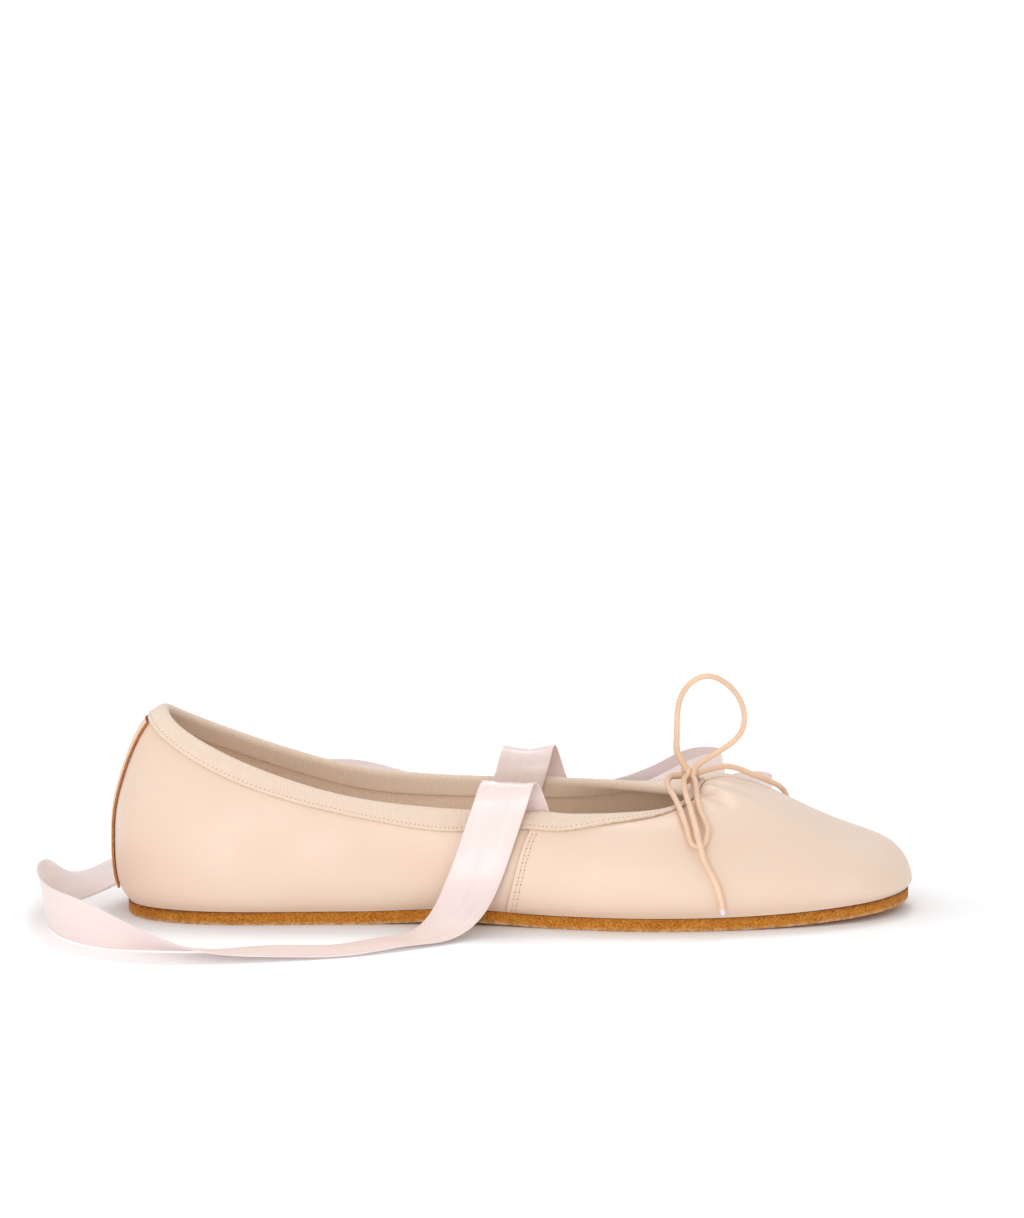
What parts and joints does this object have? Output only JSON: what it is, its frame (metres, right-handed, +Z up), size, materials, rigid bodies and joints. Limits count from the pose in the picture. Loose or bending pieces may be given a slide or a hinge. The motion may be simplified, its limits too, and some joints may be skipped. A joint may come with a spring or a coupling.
{
  "type": "ballet flat",
  "caption": "Right shoe of a pair: soft leather ballet flat with a drawstring bow at the throat and two untied satin ankle ribbons.",
  "frame": {"origin": "centre of the shoe's box on the floor, measured without the bow and the ribbons", "axes": "+X towards the toe, -Y towards the outer side of the foot, +Z up"},
  "size_m": [0.2752, 0.2986, 0.0751],
  "materials": {
    "nude_leather": "soft sheen",
    "sole_leather": "matte with a raw edge",
    "collar_tape": "ribbed matte",
    "insole_leather": "matte",
    "bow_cord": "satin",
    "satin": "satin sheen"
  },
  "bodies": {
    "root": {"upper": "nude_leather", "outsole": "sole_leather", "insole": "insole_leather", "collar_binding": "collar_tape", "heel_strip": "nude_leather", "bow_knot": "bow_cord", "bow_loop_upright": "bow_cord", "bow_loop_side": "bow_cord", "bow_end_side": "bow_cord", "bow_end_far": "bow_cord", "ribbon_outer": "satin", "ribbon_inner": "satin"}
  },
  "joints": []
}
